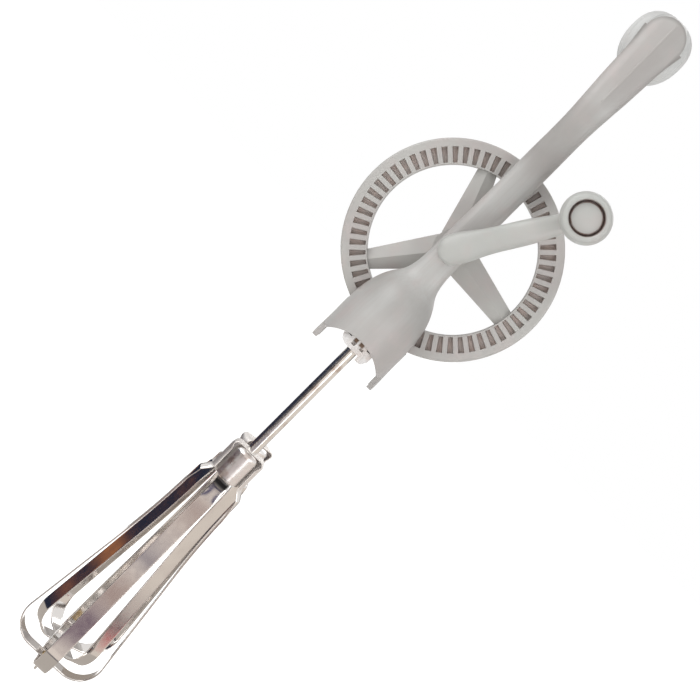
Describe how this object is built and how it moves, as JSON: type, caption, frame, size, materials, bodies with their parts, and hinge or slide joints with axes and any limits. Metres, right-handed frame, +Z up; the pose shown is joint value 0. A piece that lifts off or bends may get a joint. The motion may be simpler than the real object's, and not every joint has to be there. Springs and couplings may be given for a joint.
{
  "type": "hand crank mixer",
  "caption": "Hand-cranked rotary mixer with a toothed drive wheel, two meshed strip beaters on steel shafts, a bell that clips on a jar lid and a strap handle with a palm knob.",
  "frame": {"origin": "on the tool's axis, midway between the two beater shafts, in the plane of the bell's rim where the lid of the jar seats", "axes": "+Z up the handle, -Y towards the crank knob, the drive wheel turns about Y"},
  "size_m": [0.076, 0.0658, 0.3054],
  "materials": {
    "grey_plastic": "satin moulded warm grey",
    "pale_plastic": "satin moulded pale grey",
    "white_plastic": "milky natural",
    "steel": "bright drawn",
    "strip_steel": "bright rolled strip",
    "brass": "dull"
  },
  "bodies": {
    "frame": {"frame_body": "grey_plastic", "palm_knob": "pale_plastic", "lower_bush": "white_plastic"},
    "drive": {"drive_wheel": "grey_plastic", "crank_axle": "steel", "axle_washer": "steel", "axle_clip": "steel", "crank_arm": "grey_plastic", "knob_pin": "grey_plastic"},
    "crank_grip": {"crank_knob": "grey_plastic"},
    "front_beater": {"front_shaft": "steel", "front_pinion": "white_plastic", "front_washer": "steel", "front_cup": "steel", "front_outer_loop": "strip_steel", "front_inner_loop": "strip_steel", "front_tip_rivet": "brass", "front_tip_eye": "steel"},
    "rear_beater": {"rear_shaft": "steel", "rear_pinion": "white_plastic", "rear_washer": "steel", "rear_cup": "steel", "rear_outer_loop": "strip_steel", "rear_inner_loop": "strip_steel", "rear_tip_rivet": "brass"}
  },
  "joints": [
    {"name": "crank_turn", "type": "hinge", "parent": "frame", "child": "drive", "pos_m": [0, 0, 0.0476], "axis": [0, 1, 0], "continuous": true},
    {"name": "grip_turn", "type": "hinge", "parent": "drive", "child": "crank_grip", "pos_m": [0.02239, -0.03, 0.08384], "axis": [0, 1, 0], "continuous": true},
    {"name": "front_beater_turn", "type": "hinge", "parent": "frame", "child": "front_beater", "pos_m": [0, -0.00927, 0], "axis": [0, 0, 1], "continuous": true},
    {"name": "rear_beater_turn", "type": "hinge", "parent": "frame", "child": "rear_beater", "pos_m": [0, 0.00927, 0], "axis": [0, 0, 1], "continuous": true}
  ],
  "couplings": [
    {"joint": "front_beater_turn", "follows": "crank_turn", "ratio": 4.8333},
    {"joint": "rear_beater_turn", "follows": "crank_turn", "ratio": -4.8333}
  ]
}
